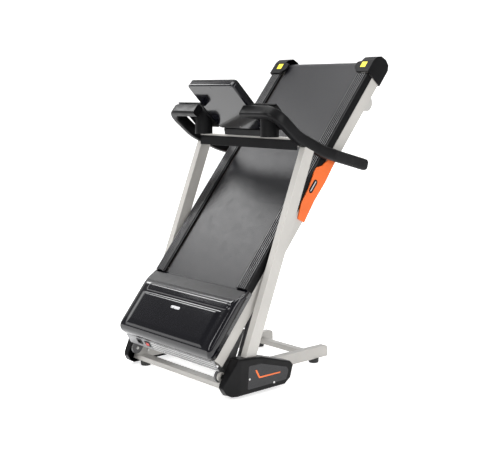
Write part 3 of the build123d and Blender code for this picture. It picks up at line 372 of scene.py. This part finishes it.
# ---------------------------------------------------------------- CAD nodes: finishes and rounded edges
TUBES = ("base_tube_left", "base_tube_right", "upright_left", "upright_right", "deck_rail_left",
         "deck_rail_right", "head_crossbar", "base_crossbars")
SMALL_WORK = ("front_crossbar", "base_plugs", "motor_pan", "hinge_arms", "console_support", "crossbar_cover",
              "levelling_feet", "rear_feet")
MOULDINGS = ("console_back", "console_face", "side_cover_left", "side_cover_right")
ROUNDING = [(TUBES, 3.0, 4), (SMALL_WORK, 1.2, 2), (MOULDINGS, 2.2, 3)]   # nodes, mm, segments
for node, piece in frame["nodes"].items():
    paint(piece, SLOT[node])
for nodes, width, segments in ROUNDING:
    for node in nodes:
        soften(node, width, segments)
paint(frame["nodes"]["console_screws"], "dark_steel")
paint(frame["nodes"]["console_back"], "gloss_black")

# ---------------------------------------------------------------- motor hood
HOOD_FRONT, HOOD_REAR = 23.2, 322
HOOD_HALF = 295
HOOD_FOOT = 76
HOOD_TOP = 139.9
HOOD_WALL = 2.6
HOOD_SINK = 4.0             # how far the skin lies below its profile
HOOD_STATIONS = (171, 117)  # across, along
HOOD_PROFILE = [(HOOD_FRONT, 100), (26, 111), (32, 120), (42, 128), (56, 134.5), (76, 138), (240, 138),
                (262, 131), (300, 115.5), (HOOD_REAR, 106)]
CORNER, CORNER_PULL = 30, 0.6
SHOULDER_X, SHOULDER_WIDTH = 266, 29
SHOULDER_FOOT, SHOULDER_RISE = 116, 23
SHOULDER_EASE = 7
PANEL_HALF = 254
PANEL_FRONT, PANEL_REAR = 46, 204
PANEL_RISE = 5.6
PANEL_SLOPE, PANEL_REAR_SLOPE = 26, 9
ROLL_U, ROLL_HALF = 229, 18
ROLL_ENDS = (-240, 281)
ROLL_RISE, ROLL_EASE = 6.0, 6
BADGE = (2, 169, 56, 12)
BADGE_LEVELS = (138, 140.2)
BAND = [(-286, 264, 3), (-286, 314, 3), (286, 314, 3), (286, 264, 3)]
BAND_LEVELS = (0, 1.2)
BAND_SINK = 0.4


def profile(table, value):
    """Height at value on the straight lines through a table's points."""
    for (x0, y0), (x1, y1) in zip(table, table[1:]):
        if value <= x1:
            return y0 + (y1 - y0) * (value - x0) / (x1 - x0)
    return table[-1][1]


def hood_height(x, u):
    """Height of the hood's skin above the pivot, square to the belt."""
    past = max(abs(x) - SHOULDER_X, 0) / SHOULDER_WIDTH
    flank = SHOULDER_FOOT + SHOULDER_RISE * math.sqrt(max(1 - past ** 2, 0))
    skin_height = soft_min(profile(HOOD_PROFILE, u), flank, SHOULDER_EASE)
    inside = min((PANEL_HALF - abs(x)) / PANEL_SLOPE, (u - PANEL_FRONT) / PANEL_SLOPE,
                 (PANEL_REAR - u) / PANEL_REAR_SLOPE)
    skin_height += PANEL_RISE * smoothstep(0, 1, inside) - HOOD_SINK
    low, high = ROLL_ENDS
    beyond = max(low + ROLL_HALF - x, x - high + ROLL_HALF, 0)
    away = math.hypot(beyond, u - ROLL_U)
    return skin_height + ROLL_RISE * (1 - smoothstep(ROLL_HALF - ROLL_EASE, ROLL_HALF, away))


def build_hood():
    """Glossy shell: raised front panel, a rounded roll behind it and crowned shoulders."""
    across = spread(-HOOD_HALF, HOOD_HALF, HOOD_STATIONS[0])
    along = spread(HOOD_FRONT, HOOD_REAR, HOOD_STATIONS[1])
    rings = []
    for u in along:
        near = max(CORNER - (u - HOOD_FRONT), 0)
        pull = CORNER - math.sqrt(max(CORNER ** 2 - near ** 2, 0))
        width = (HOOD_HALF - CORNER_PULL * pull) / HOOD_HALF
        row = [deck(across[0] * width, u, HOOD_FOOT)]
        row += [deck(x * width, u, min(hood_height(x, u), HOOD_TOP)) for x in across]
        row.append(deck(across[-1] * width, u, HOOD_FOOT))
        rings.append(row)
    front = [deck(p[0] / MM, HOOD_FRONT, HOOD_FOOT) for p in rings[0]]
    back = [deck(p[0] / MM, HOOD_REAR, HOOD_FOOT) for p in rings[-1]]
    hood = skin("hood_shell", [front, *rings, back], "deck", "gloss_black", closed=False, capped=False,
                stands_for=("motor_hood",), smooth=50)
    shell = hood.modifiers.new("shell", "SOLIDIFY")
    shell.thickness = HOOD_WALL * MM
    shell.offset = -1


def on_hood(x, u, level):
    """Point on the hood's skin."""
    return deck(x, u, hood_height(x, u) + level - BAND_SINK)


build_hood()
plate("hood_badge", capsule(*BADGE), BADGE_LEVELS, deck, "deck", "silver_print", bevel=0.6)
plate("hood_band", rounded(BAND), BAND_LEVELS, on_hood, "deck", "matte_band", bevel=0.5)

# ---------------------------------------------------------------- foot rails
RAIL_IN, RAIL_OUT = 228.2, 291.4
RAIL_WALL = (231, 288.2)    # inner faces of the two side walls
RAIL_ENDS = (322.6, 1379.6)
RAIL_FEET = (103, 76.3)     # lower edges of the inner and outer walls
RAIL_UNDER = 107
RAIL_INNER_EDGE = 108
RAIL_OUTER_EDGE = [(RAIL_OUT - 0.8, 108.4), (RAIL_OUT, 106)]
TREAD_SPAN = (RAIL_IN + 1.2, RAIL_OUT - 2.5)
TREAD_STATIONS = 140
TREAD_TOP = 109.2
RIDGE_RISE, RIDGE_HALF = 3.6, 3.9
RIDGES = [240 + 10 * step for step in range(5)]
# Thin strips of painted highlight on the tops of the ridges: half width, ends, levels, corner radius.
HIGHLIGHT_HALF = 1.1
HIGHLIGHT_ENDS = (322.8, 1379.4)
HIGHLIGHT_LEVELS = (112.2, 112.95)
HIGHLIGHT_CORNER = 0.5


def tread(x):
    """Height of the foot rail's top: five rounded ridges."""
    height = TREAD_TOP
    for middle in RIDGES:
        height += RIDGE_RISE * math.sqrt(max(1 - ((x - middle) / RIDGE_HALF) ** 2, 0))
    return height


def build_foot_rail(name, which):
    """Ridged cap over one side rail, with a painted highlight: a lighter strip along the top of each of the
    ridges.
    """
    top = [(x, tread(x)) for x in spread(*TREAD_SPAN, TREAD_STATIONS)]
    outline = [(RAIL_IN, RAIL_FEET[0]), (RAIL_IN, RAIL_INNER_EDGE), *top, *RAIL_OUTER_EDGE,
               (RAIL_OUT, RAIL_FEET[1]), (RAIL_WALL[1], RAIL_FEET[1]), (RAIL_WALL[1], RAIL_UNDER),
               (RAIL_WALL[0], RAIL_UNDER), (RAIL_WALL[0], RAIL_FEET[0])]
    rings = [[deck(which * x, u, n) for x, n in outline] for u in RAIL_ENDS]
    skin(f"tread_{name}", rings, "deck", "rail_plastic", stands_for=(f"foot_rail_{name}",), smooth=40)
    near, far = HIGHLIGHT_ENDS
    # Each strip is a painted highlight: a lighter line along the top of one of the ridges, where the glossy rail
    # reflects the light.
    for index, middle in enumerate(RIDGES):
        low, high = middle - HIGHLIGHT_HALF, middle + HIGHLIGHT_HALF
        strip = [(low, near, HIGHLIGHT_CORNER), (high, near, HIGHLIGHT_CORNER), (high, far, HIGHLIGHT_CORNER),
                 (low, far, HIGHLIGHT_CORNER)]
        plate(f"ridge_{name}_{index}", rounded(strip, 2), HIGHLIGHT_LEVELS, deck_side(which), "deck", "painted_highlight",
              bevel=0.2)


for name, which in SIDES.items():
    build_foot_rail(name, which)

# ---------------------------------------------------------------- rear corner caps
CAP_WING = [(232, 1382, 4), (207, 1404, 10), (207, 1434, 8), (232, 1440, 2)]
CAP_WING_LEVELS = (108, 118.4)
STICKER = [(240, 1404, 2), (240, 1432, 2), (268, 1432, 2), (268, 1404, 2)]
STICKER_LEVELS = (118.9, 119.2)
for name, which in SIDES.items():
    plate(f"cap_wing_{name}", rounded(CAP_WING), CAP_WING_LEVELS, deck_side(which), "deck", "black_plastic",
          bevel=1.5)
    plate(f"cap_sticker_{name}", rounded(STICKER), STICKER_LEVELS, deck_side(which), "deck", "yellow_label")

# ---------------------------------------------------------------- front wall of the motor pan
APRON_FOOT = (8, 27)
APRON_LIP = (28, 80)
APRON_TILT = math.atan2(APRON_LIP[0] - APRON_FOOT[0], APRON_LIP[1] - APRON_FOOT[1])
RIB_HEIGHTS = (5, 16, 27, 38, 49)
RIB_X, RIB_LENGTH, RIB_WIDTH = 82, 404, 3.2
RIB_LEVELS = (-0.4, 1.0)


def apron(x, up, out):
    """Point on the pan's sloping front wall: across, up the wall, out of it."""
    return deck(x, APRON_FOOT[0] + up * math.sin(APRON_TILT) - out * math.cos(APRON_TILT),
                APRON_FOOT[1] + up * math.cos(APRON_TILT) + out * math.sin(APRON_TILT))


paint(frame["nodes"]["motor_pan"], "pan_metal")
for index, up in enumerate(RIB_HEIGHTS):
    plate(f"pan_rib_{index}", capsule(RIB_X, up, RIB_LENGTH, RIB_WIDTH), RIB_LEVELS, apron, "deck",
          "zinc_steel", bevel=0.4)

# ---------------------------------------------------------------- side covers
COVER_GAP = 0.02
COVER_PANEL = [(72, 30, 8), (78, 122, 8), (142, 120, 14), (276, 82, 10), (284, 66, 8), (272, 32, 8)]
COVER_PANEL_LEVELS = (-0.8, 0.0)
COVER_MARK = [(110, 100, 1), (118, 100, 1), (134, 71, 3), (240, 70, 1), (240, 65, 1), (129, 65, 4)]
COVER_MARK_LEVELS = (0, 0.3)
COVER_SCREWS = [(82, 70), (208, 33.5)]
COVER_SCREW_RADIUS = 4.2
COVER_SCREW_LEVELS = (0, 0.4)


def cover_face(which):
    """Places (d, z, level) on a side cover's outer face."""
    return lambda d, z, level: side(which * (COVER_FACE + COVER_GAP + level), d, z)


for name, which in SIDES.items():
    face = cover_face(which)
    plate(f"cover_panel_{name}", rounded(COVER_PANEL), COVER_PANEL_LEVELS, face, "frame", "gloss_black",
          bevel=0.3)
    plate(f"cover_mark_{name}", rounded(COVER_MARK, 4), COVER_MARK_LEVELS, face, "frame", "accent_orange",
          bevel=0.1)
    for index, (d, z) in enumerate(COVER_SCREWS):
        plate(f"cover_screw_{name}_{index}", circle(d, z, COVER_SCREW_RADIUS), COVER_SCREW_LEVELS, face,
              "frame", "zinc_steel", bevel=0.2)

# ---------------------------------------------------------------- handlebars and grips
BAR_TOP = [(193, 1132), (354, 1000), (493, 939), (738, 876)]
BAR_SIZE = (34, 48)
BAR_RADIUS = 10
BAR_X, BAR_D, BAR_TURN = 320, 235, 45
BAR_START = 143
BAR_LEAD = 8                # straight stretch after the turn, before the next station
BAR_STATIONS = (10, 12, 40)     # across, round the turn, back to the grip
BEND_REACH = 34
GRIP_START, GRIP_LENGTH = 553, 205
GRIP_SIZE = (35.4, 47.4)
GRIP_OUT = 0.2
GRIP_STATIONS = 42
GRIP_LIP, GRIP_LIP_REACH = 2.4, 5
GRIP_END = 15               # length of the rounded end
GRIP_END_LEAST = 0.0004
GRIP_END_SHARE = (0.35, 0.5)    # width and height left at the very end
GRIP_RINGS = (12, 182)
RING_DEPTH, RING_WIDTH = 1.1, 2.2
GRIP_ROUNDING = 0.42


def bar_slope(d):
    """Downward slope of the bar, in radians, eased over each bend."""
    slopes = [math.atan2(z0 - z1, d1 - d0) for (d0, z0), (d1, z1) in zip(BAR_TOP, BAR_TOP[1:])]
    slope = slopes[0]
    for (bend, _), before, after in zip(BAR_TOP[1:], slopes, slopes[1:]):
        slope += (after - before) * smoothstep(bend - BEND_REACH, bend + BEND_REACH, d)
    return slope


def bar_line():
    """Points (x, d, z) and slopes down the bar's centre, from the console out and back to the grip."""
    across, around, back = BAR_STATIONS
    plan = [(x, BAR_D) for x in spread(BAR_START, BAR_X - BAR_TURN, across)]
    for step in range(1, around + 1):
        turn = math.radians(90 * step / around)
        plan.append((BAR_X - BAR_TURN + BAR_TURN * math.sin(turn), BAR_D + BAR_TURN * (1 - math.cos(turn))))
    plan += [(BAR_X, d) for d in spread(BAR_D + BAR_TURN + BAR_LEAD, GRIP_START, back)]
    first = math.atan2(BAR_TOP[0][1] - BAR_TOP[1][1], BAR_TOP[1][0] - BAR_TOP[0][0])
    top = BAR_TOP[0][1] - (BAR_D - BAR_TOP[0][0]) * math.tan(first)
    height = top - BAR_SIZE[1] / 2 / math.cos(first)
    line, last = [], BAR_D
    for x, d in plan:
        height -= (d - last) * math.tan(bar_slope((d + last) / 2))
        last = d
        line.append((x, d, height, bar_slope(d)))
    return line


def section(centre, tangent, slope, width, height, radius, which):
    """Rounded rectangle square to the tangent, upright to the slope."""
    up = Vector((0, math.sin(slope), math.cos(slope)))
    out = tangent.cross(up).normalized()
    half = width / 2
    tall = height / 2
    corners = [(-half, -tall, radius), (half, -tall, radius), (half, tall, radius), (-half, tall, radius)]
    ring = rounded(corners, 5)
    return [centre + MM * (out * a * which + up * b) for a, b in ring]


def build_bar(name, which, line):
    """One arm of the handlebar as a swept moulding."""
    places = [side(which * x, d, z) for x, d, z, _ in line]
    rings = []
    for index, (_, _, _, slope) in enumerate(line):
        before, after = places[max(index - 1, 0)], places[min(index + 1, len(places) - 1)]
        tangent = (after - before).normalized()
        rings.append(section(places[index], tangent, slope, *BAR_SIZE, BAR_RADIUS, which))
    skin(f"arm_{name}", rings, "frame", "black_plastic", stands_for=(f"handlebar_{name}",), smooth=60)


def grip_size(along):
    """Width and height of the foam sleeve at a distance from its inner end."""
    inset = GRIP_LIP * (1 - min(along / GRIP_LIP_REACH, 1))
    left = GRIP_LENGTH - along
    shrink = math.sqrt(max(1 - (1 - min(left / GRIP_END, 1)) ** 2, GRIP_END_LEAST))
    groove = RING_DEPTH * sum(math.exp(-((along - spot) / RING_WIDTH) ** 2) for spot in GRIP_RINGS)
    return [(size - groove - inset) * (least + (1 - least) * shrink)
            for size, least in zip(GRIP_SIZE, GRIP_END_SHARE)]


def build_grip(name, which, start):
    """Foam sleeve with a soft closed end and two shallow finger rings."""
    x, d, z, slope = start
    tangent = Vector((0, math.cos(slope), -math.sin(slope)))
    rings = []
    for along in spread(0, GRIP_LENGTH, GRIP_STATIONS):
        width, height = grip_size(along)
        centre = side(which * (x + GRIP_OUT), d + along * math.cos(slope), z - along * math.sin(slope))
        radius = min(width, height) * GRIP_ROUNDING
        rings.append(section(centre, tangent, slope, width, height, radius, which))
    sleeve = skin(f"sleeve_{name}", rings, "frame", "foam", stands_for=(f"grip_{name}",), smooth=70)


bar = bar_line()
for name, which in SIDES.items():
    build_bar(name, which, bar)
    build_grip(name, which, bar[-1])

# ---------------------------------------------------------------- shapes on the side rails
DECAL = [(690, 22, 3), (682, 60, 6), (740, 84, 12), (807, 88, 10), (880, 104, 6), (900, 104, 8), (923, 84, 8),
         (981, 64, 6), (993, 35, 4), (884, 27, 10), (789, 30, 10)]
DECAL_GAP, DECAL_LEVELS = 0.1, (0, 5.2)
OVAL = (830, 73, 62, 22)
OVAL_GAP, OVAL_LEVELS = 5.3, (0, 0.5)
OVAL_BAR = (OVAL[0], OVAL[1], 48, 5)
OVAL_BAR_GAP, OVAL_BAR_LEVELS = 5.8, (0, 0.3)


def outside(which, gap):
    """Places (u, n, level) on the outer face of a side rail, gap mm off it."""
    return lambda u, n, level: deck(which * (RAIL_FACE + gap + level), u, n)


for name, which in SIDES.items():
    plate(f"rail_decal_{name}", rounded(DECAL), DECAL_LEVELS, outside(which, DECAL_GAP), "deck",
          "accent_orange", bevel=0.6)
    plate(f"decal_oval_{name}", capsule(*OVAL), OVAL_LEVELS, outside(which, OVAL_GAP), "deck",
          "black_plastic", bevel=0.2)
    plate(f"decal_bar_{name}", capsule(*OVAL_BAR), OVAL_BAR_LEVELS, outside(which, OVAL_BAR_GAP), "deck",
          "silver_print")

# ---------------------------------------------------------------- studio
CAMERA_AZIMUTH = math.radians(48.5)
CAMERA_PITCH = math.radians(8)
FLOOR_NEAR, FLOOR_FLAT = -9, 4      # metres along the camera's direction: start and end of the flat part
FLOOR_HALF = 14
SWEEP_RADIUS = 3
SWEEP_TOP = 9
FLOOR_GLOW = 0.66
WORLD_STRENGTH = 0.28
LAMPS = {                           # place, aim, size, watts
    "overhead": ((-0.2, -0.3, 3.4), (0, 0, 0.6), (2.6, 2.0), 90),
    "front": ((1.4, -3.4, 2.6), (0, -0.2, 0.5), (1.4, 1.8), 60),
    "right_side": ((4.2, 0.6, 1.9), (0, 0, 0.6), (1.6, 2.2), 55),
    "back_left": ((-2.4, -0.9, 2.6), (0, -0.2, 1.1), (1.0, 1.0), 40),
}


def build_floor():
    """Pale sweep that curves up far behind the machine."""
    rows = [(FLOOR_NEAR, 0), (FLOOR_FLAT, 0)]
    rows += [(FLOOR_FLAT + SWEEP_RADIUS * math.sin(math.radians(a)),
              SWEEP_RADIUS - SWEEP_RADIUS * math.cos(math.radians(a))) for a in range(10, 91, 10)]
    rows.append((FLOOR_FLAT + SWEEP_RADIUS, SWEEP_TOP))
    toward = Vector((-math.sin(CAMERA_AZIMUTH), math.cos(CAMERA_AZIMUTH), 0))
    across = Vector((toward.y, -toward.x, 0))
    points = [toward * y + across * x + Vector((0, 0, z)) for y, z in rows for x in (-FLOOR_HALF, FLOOR_HALF)]
    faces = [(2 * i, 2 * i + 1, 2 * i + 3, 2 * i + 2) for i in range(len(rows) - 1)]
    mesh = bpy.data.meshes.new("floor")
    mesh.from_pydata([tuple(p) for p in points], [], faces)
    mesh.shade_smooth()
    floor = bpy.data.objects.new("floor", mesh)
    bpy.context.scene.collection.objects.link(floor)
    material = finish("floor", (0.93, 0.93, 0.93), 0.8, bump=0.02, mottle=0.004)
    shader = material.node_tree.nodes["Principled BSDF"]
    shader.inputs["Emission Color"].default_value = (1, 1, 1, 1)
    shader.inputs["Emission Strength"].default_value = FLOOR_GLOW
    floor.data.materials.append(material)


def build_lamp(name, place, aim, size, power):
    """Soft rectangular light."""
    light = bpy.data.lights.new(name, "AREA")
    light.shape = "RECTANGLE"
    light.size, light.size_y = size
    light.energy = power
    piece = bpy.data.objects.new(name, light)
    piece.location = place
    piece.rotation_euler = (Vector(aim) - Vector(place)).to_track_quat("-Z", "Y").to_euler()
    bpy.context.scene.collection.objects.link(piece)


def build_world():
    """Even pale light from all round."""
    world = bpy.data.worlds.new("studio")
    world.use_nodes = True
    background = world.node_tree.nodes["Background"]
    background.inputs["Color"].default_value = (1, 1, 1, 1)
    background.inputs["Strength"].default_value = WORLD_STRENGTH
    bpy.context.scene.world = world
    bpy.context.scene.view_settings.view_transform = "Standard"


build_floor()
for name, settings in LAMPS.items():
    build_lamp(name, *settings)
build_world()

# ---------------------------------------------------------------- camera
CAMERA_PLACE = (2.980, -2.659, 1.151)
CAMERA_LENS, CAMERA_SENSOR = 69.26, 36
CAMERA_REACH = 60


def build_camera():
    """Camera that looks from the front and the user's left, a little downwards."""
    camera = bpy.data.objects.new("camera", bpy.data.cameras.new("camera"))
    camera.data.lens = CAMERA_LENS
    camera.data.sensor_width = CAMERA_SENSOR
    camera.data.clip_end = CAMERA_REACH
    camera.location = CAMERA_PLACE
    look = Vector((-math.sin(CAMERA_AZIMUTH) * math.cos(CAMERA_PITCH),
                   math.cos(CAMERA_AZIMUTH) * math.cos(CAMERA_PITCH), -math.sin(CAMERA_PITCH)))
    camera.rotation_euler = look.to_track_quat("-Z", "Y").to_euler()
    bpy.context.scene.collection.objects.link(camera)
    bpy.context.scene.camera = camera


build_camera()
